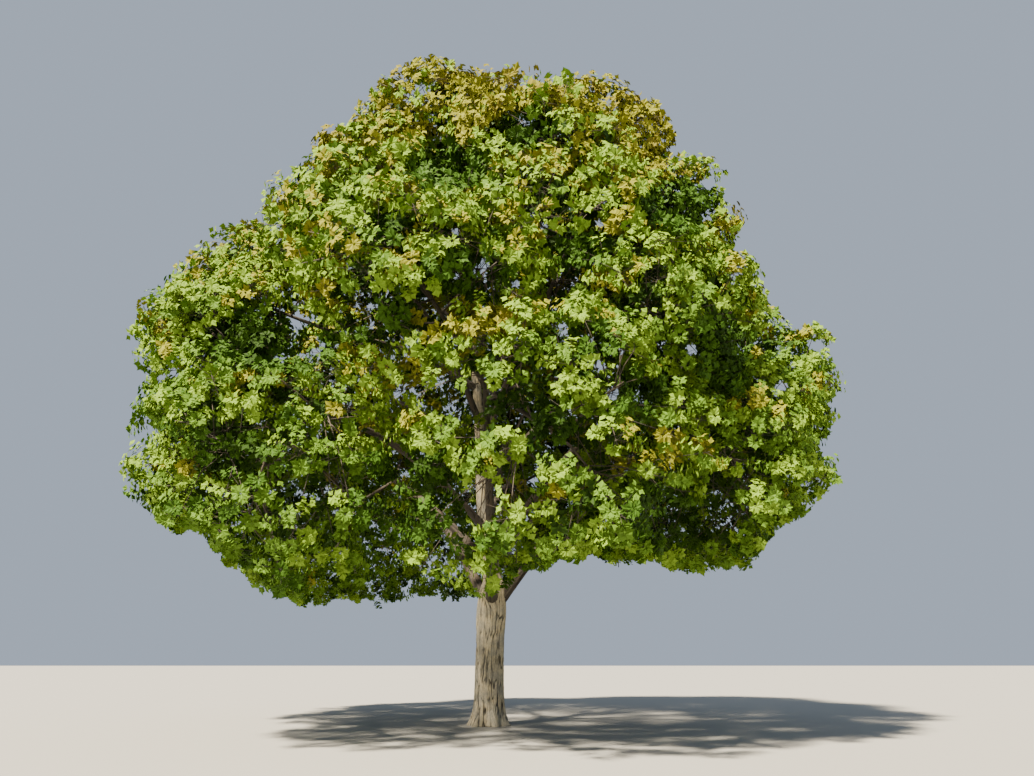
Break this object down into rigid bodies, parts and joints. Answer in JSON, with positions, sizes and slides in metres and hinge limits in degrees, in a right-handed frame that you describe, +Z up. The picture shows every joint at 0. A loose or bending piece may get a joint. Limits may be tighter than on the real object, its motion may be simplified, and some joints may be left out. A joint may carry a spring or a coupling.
{
  "type": "maple tree",
  "caption": "Mature maple grown in the open: fluted trunk with a root flare, low fork, spreading boughs and a full rounded crown in late summer leaf.",
  "frame": {"origin": "middle of the flat cut under the trunk, at ground level", "axes": "+Z up the tree; the picture's viewer stands on the -Y side, with +X to the right"},
  "size_m": [18.0271, 18.4919, 17.8655],
  "materials": {
    "bark": "old furrowed grey-brown bark, matt",
    "young_bark": "smoother grey-brown bark of boughs and twigs, matt",
    "leaf_deep": "deep green leaves, faint sheen",
    "leaf_mid": "mid green leaves, faint sheen",
    "leaf_fresh": "fresh yellow-green leaves, faint sheen",
    "leaf_olive": "olive leaves on the turn, faint sheen",
    "leaf_bronze": "bronze and golden leaves on the turn, faint sheen"
  },
  "bodies": {
    "root": {"trunk": "bark", "leader": "bark", "bough_low_1": "bark", "bough_low_2": "bark", "bough_low_3": "bark", "bough_low_4": "bark", "bough_low_5": "bark", "bough_low_6": "bark", "bough_low_7": "bark", "bough_low_8": "bark", "bough_high_1": "young_bark", "bough_high_2": "young_bark", "bough_high_3": "young_bark", "bough_high_4": "young_bark", "bough_high_5": "young_bark", "bough_high_6": "young_bark", "bough_high_7": "young_bark", "bough_crest_1": "young_bark", "bough_crest_2": "young_bark", "bough_crest_3": "young_bark", "bough_crest_4": "young_bark", "bough_crest_5": "young_bark", "bough_crest_6": "young_bark", "bough_top_1": "young_bark", "bough_top_2": "young_bark", "bough_top_3": "young_bark", "bough_top_4": "young_bark", "foliage_skirt_1": "leaf_fresh", "foliage_skirt_2": "leaf_fresh", "foliage_skirt_3": "leaf_fresh", "foliage_skirt_4": "leaf_fresh", "foliage_skirt_5": "leaf_fresh", "foliage_skirt_6": "leaf_fresh", "foliage_skirt_7": "leaf_fresh", "foliage_skirt_8": "leaf_fresh", "foliage_middle_1": "leaf_mid", "foliage_middle_2": "leaf_mid", "foliage_middle_3": "leaf_mid", "foliage_middle_4": "leaf_mid", "foliage_middle_5": "leaf_mid", "foliage_middle_6": "leaf_mid", "foliage_middle_7": "leaf_mid", "foliage_middle_8": "leaf_mid", "foliage_shoulder_1": "leaf_deep", "foliage_shoulder_2": "leaf_deep", "foliage_shoulder_3": "leaf_deep", "foliage_shoulder_4": "leaf_deep", "foliage_shoulder_5": "leaf_deep", "foliage_shoulder_6": "leaf_deep", "foliage_shoulder_7": "leaf_deep", "foliage_crest_1": "leaf_olive", "foliage_crest_2": "leaf_olive", "foliage_crest_3": "leaf_olive", "foliage_crest_4": "leaf_olive", "foliage_crest_5": "leaf_olive", "foliage_crest_6": "leaf_olive", "foliage_top_1": "leaf_bronze", "foliage_top_2": "leaf_bronze", "foliage_top_3": "leaf_bronze", "foliage_top_4": "leaf_bronze"}
  },
  "joints": []
}
